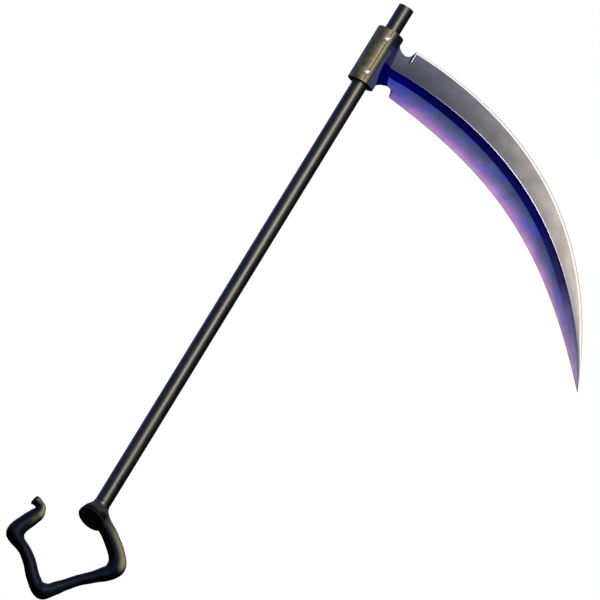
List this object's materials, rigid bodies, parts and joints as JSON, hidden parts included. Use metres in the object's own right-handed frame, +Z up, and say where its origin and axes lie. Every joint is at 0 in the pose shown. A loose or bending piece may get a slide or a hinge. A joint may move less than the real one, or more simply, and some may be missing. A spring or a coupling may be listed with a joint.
{
  "type": "hand scythe",
  "caption": "Long-handled hand scythe: curved ridged blade on a screwed clamp collar that slides and swivels on a straight shaft, with an angular open crook handle at its foot.",
  "frame": {"origin": "on the shaft's axis, half way along the free length between the collar and the crook, where the tool is held", "axes": "+Z up the shaft towards the blade, +X the way the blade reaches out, -Y the side of the two clamp screws"},
  "size_m": [0.8308, 0.0634, 1.4244],
  "materials": {
    "black_enamel": "black enamel on tube, soft gloss, worn a little along the grip",
    "crook_enamel": "blue-black enamel on a casting, soft gloss with an uneven skin",
    "black_rubber": "matte",
    "black_steel": "blackened and oiled",
    "cast_liner": "sand-cast, dulled black",
    "bronzed_sheet": "olive-bronze, brushed on a slant, worn bright along the rims",
    "bright_steel": "bright, with fine scratches",
    "pad_brass": "turned",
    "blade_steel": "ground: grey flat above the ridge, blued band below it, bevel tempered from blue to violet at the edge"
  },
  "bodies": {
    "shaft": {"shaft_tube": "black_enamel", "top_plug": "black_enamel", "crook": "crook_enamel", "crook_pin": "bright_steel", "foot_pad": "black_rubber"},
    "bush": {"split_bush": "black_steel"},
    "head": {"liner_front": "cast_liner", "liner_rear": "cast_liner", "liner_dowels": "bright_steel", "socket_shell": "bronzed_sheet", "blade": "blade_steel", "blade_root_screws": "black_steel"},
    "pad_upper": {"pressure_pad_upper": "pad_brass"},
    "pad_lower": {"pressure_pad_lower": "pad_brass"},
    "screw_upper": {"clamp_screw_upper": "bright_steel"},
    "screw_lower": {"clamp_screw_lower": "bright_steel"}
  },
  "joints": [
    {"name": "collar_slide", "type": "slide", "parent": "shaft", "child": "bush", "axis": [0, 0, 1], "range_m": [-0.6, 0.06]},
    {"name": "collar_swivel", "type": "hinge", "parent": "bush", "child": "head", "pos_m": [0, 0, 0.564], "axis": [0, 0, 1], "continuous": true},
    {"name": "pad_upper_travel", "type": "slide", "parent": "head", "child": "pad_upper", "axis": [0, -1, 0], "range_m": [0, 0.00376]},
    {"name": "screw_upper_turn", "type": "hinge", "parent": "pad_upper", "child": "screw_upper", "pos_m": [0, 0, 0.604], "axis": [0, -1, 0], "range_deg": [0, 1080]},
    {"name": "pad_lower_travel", "type": "slide", "parent": "head", "child": "pad_lower", "axis": [0, -1, 0], "range_m": [0, 0.00376]},
    {"name": "screw_lower_turn", "type": "hinge", "parent": "pad_lower", "child": "screw_lower", "pos_m": [0, 0, 0.524], "axis": [0, -1, 0], "range_deg": [0, 1080]}
  ],
  "couplings": [
    {"joint": "pad_upper_travel", "follows": "screw_upper_turn", "m_per_rad": 0.00019894},
    {"joint": "pad_lower_travel", "follows": "screw_lower_turn", "m_per_rad": 0.00019894}
  ]
}
